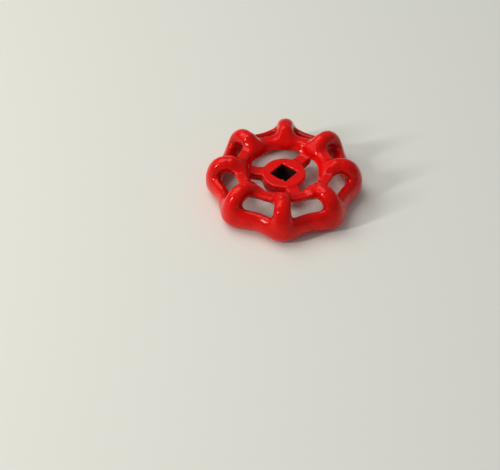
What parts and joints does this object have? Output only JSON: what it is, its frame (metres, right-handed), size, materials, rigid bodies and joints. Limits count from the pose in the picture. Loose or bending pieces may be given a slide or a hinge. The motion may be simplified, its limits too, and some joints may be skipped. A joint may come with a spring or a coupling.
{
  "type": "valve handwheel",
  "caption": "Round cast handwheel with a scalloped rim, raised finger ribs, a conical inner ring and spokes carrying a hub with a square stem socket.",
  "frame": {"origin": "on the stem axis, in the plane the rim's underside rests on, at the centre of the bounding box's base", "axes": "+Z along the stem axis, away from the valve; X and Y square to the flats of the stem socket, with spoke 1 along +X"},
  "size_m": [0.0634, 0.0634, 0.0176],
  "materials": {
    "red_enamel": "glossy red enamel over a cast surface"
  },
  "bodies": {
    "root": {"hub": "red_enamel", "inner_ring": "red_enamel", "spoke_1": "red_enamel", "spoke_2": "red_enamel", "spoke_3": "red_enamel", "rim_lobe_1": "red_enamel", "rim_lobe_2": "red_enamel", "rim_lobe_3": "red_enamel", "rim_lobe_4": "red_enamel", "rim_lobe_5": "red_enamel", "rim_lobe_6": "red_enamel", "rim_lobe_7": "red_enamel", "rim_lobe_8": "red_enamel", "finger_rib_1": "red_enamel", "finger_rib_2": "red_enamel", "finger_rib_3": "red_enamel", "finger_rib_4": "red_enamel", "finger_rib_5": "red_enamel", "finger_rib_6": "red_enamel", "finger_rib_7": "red_enamel", "finger_rib_8": "red_enamel"}
  },
  "joints": []
}
